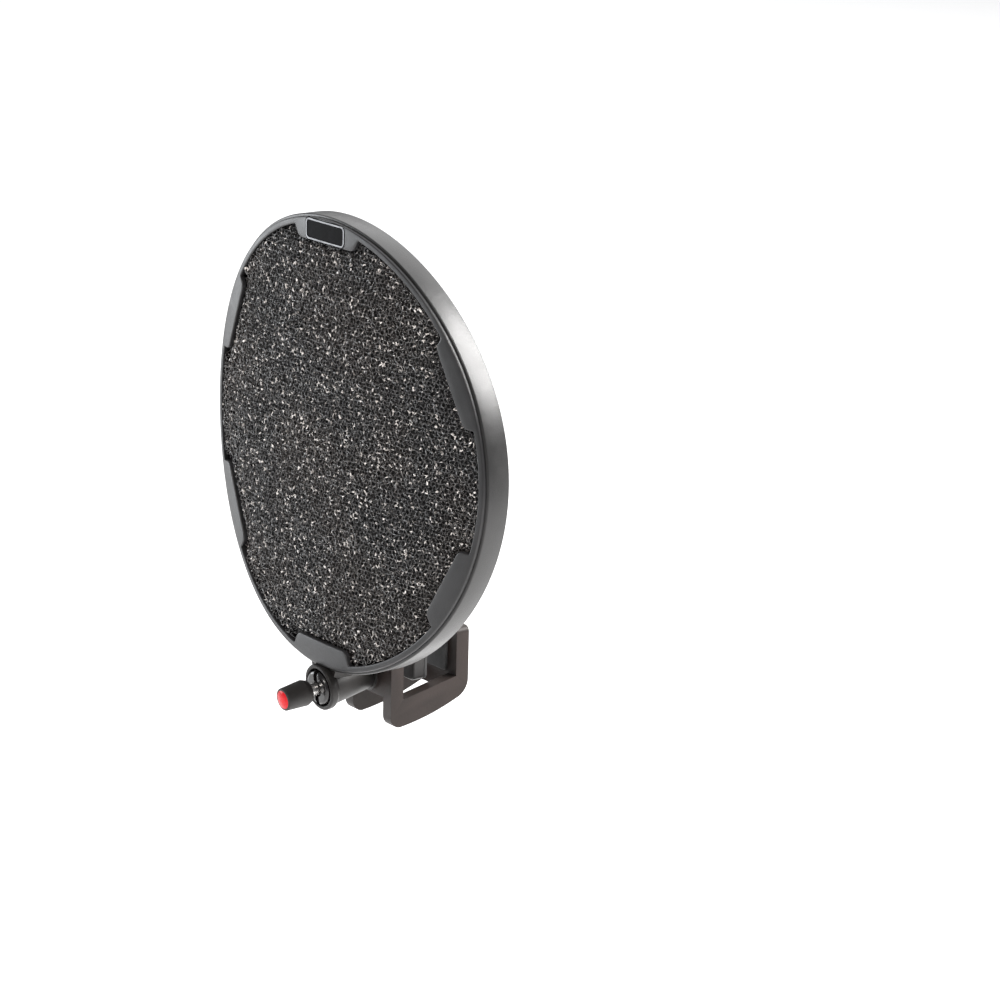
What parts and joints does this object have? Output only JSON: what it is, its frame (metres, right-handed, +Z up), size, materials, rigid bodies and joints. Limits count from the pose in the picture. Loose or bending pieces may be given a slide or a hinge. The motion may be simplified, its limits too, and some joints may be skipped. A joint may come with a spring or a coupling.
{
  "type": "microphone pop filter",
  "caption": "Round curved foam pop filter with a barrel, a sliding push rod with a red-capped knob, and a hook clamp for a shock mount's ring.",
  "frame": {"origin": "where the push rod's axis meets the face of the back jaw's rubber pad, the face that the shock mount's ring is pressed against", "axes": "+Z up; the front of the filter, with its badge and knob, faces -Y; +X is the right as seen from the front; the rod's axis lies in the YZ plane, 6.6 degrees nose down"},
  "size_m": [0.175, 0.0775, 0.1998],
  "materials": {
    "shell_plastic": "fine textured satin black",
    "clip_plastic": "fine textured satin black",
    "foam": "open-cell black foam",
    "badge_metal": "bright",
    "badge_black": "glossy",
    "adhesive": "matte",
    "collet_plastic": "glossy",
    "ring_rubber": "matte",
    "bearing_plastic": "satin",
    "rod_steel": "polished",
    "spring_steel": "satin",
    "core_metal": "satin",
    "knob_rubber": "matte",
    "cap_red": "glossy",
    "foot_plastic": "satin",
    "pad_rubber": "matte"
  },
  "bodies": {
    "clip": {"clip_body": "clip_plastic", "jaw_pad": "pad_rubber", "swivel_bush": "bearing_plastic", "swivel_washer": "bearing_plastic"},
    "head": {"rim_frame": "shell_plastic", "front_bezel": "shell_plastic", "foam_disc": "foam", "badge_frame": "badge_metal", "badge_plate": "badge_black", "badge_pad": "adhesive", "collet": "collet_plastic", "collet_ring": "ring_rubber", "rod_bush": "bearing_plastic", "swivel_ring": "spring_steel"},
    "foot": {"foot_body": "foot_plastic", "foot_pad": "pad_rubber"},
    "screw": {"clamp_rod": "rod_steel", "foot_clip": "spring_steel", "knob_core": "core_metal", "knob_sleeve": "knob_rubber", "knob_cap": "cap_red"}
  },
  "joints": [
    {"name": "head_swivel", "type": "hinge", "parent": "clip", "child": "head", "pos_m": [0, -0.03099, -0.00359], "axis": [0, -0.9934, -0.1149], "range_deg": [-45, 45]},
    {"name": "rod_slide", "type": "slide", "parent": "clip", "child": "foot", "axis": [0, -0.9934, -0.1149], "range_m": [-0.0036, 0.007]},
    {"name": "knob_turn", "type": "hinge", "parent": "foot", "child": "screw", "pos_m": [0, -0.0596, -0.0069], "axis": [0, -0.9934, -0.1149], "continuous": true}
  ]
}
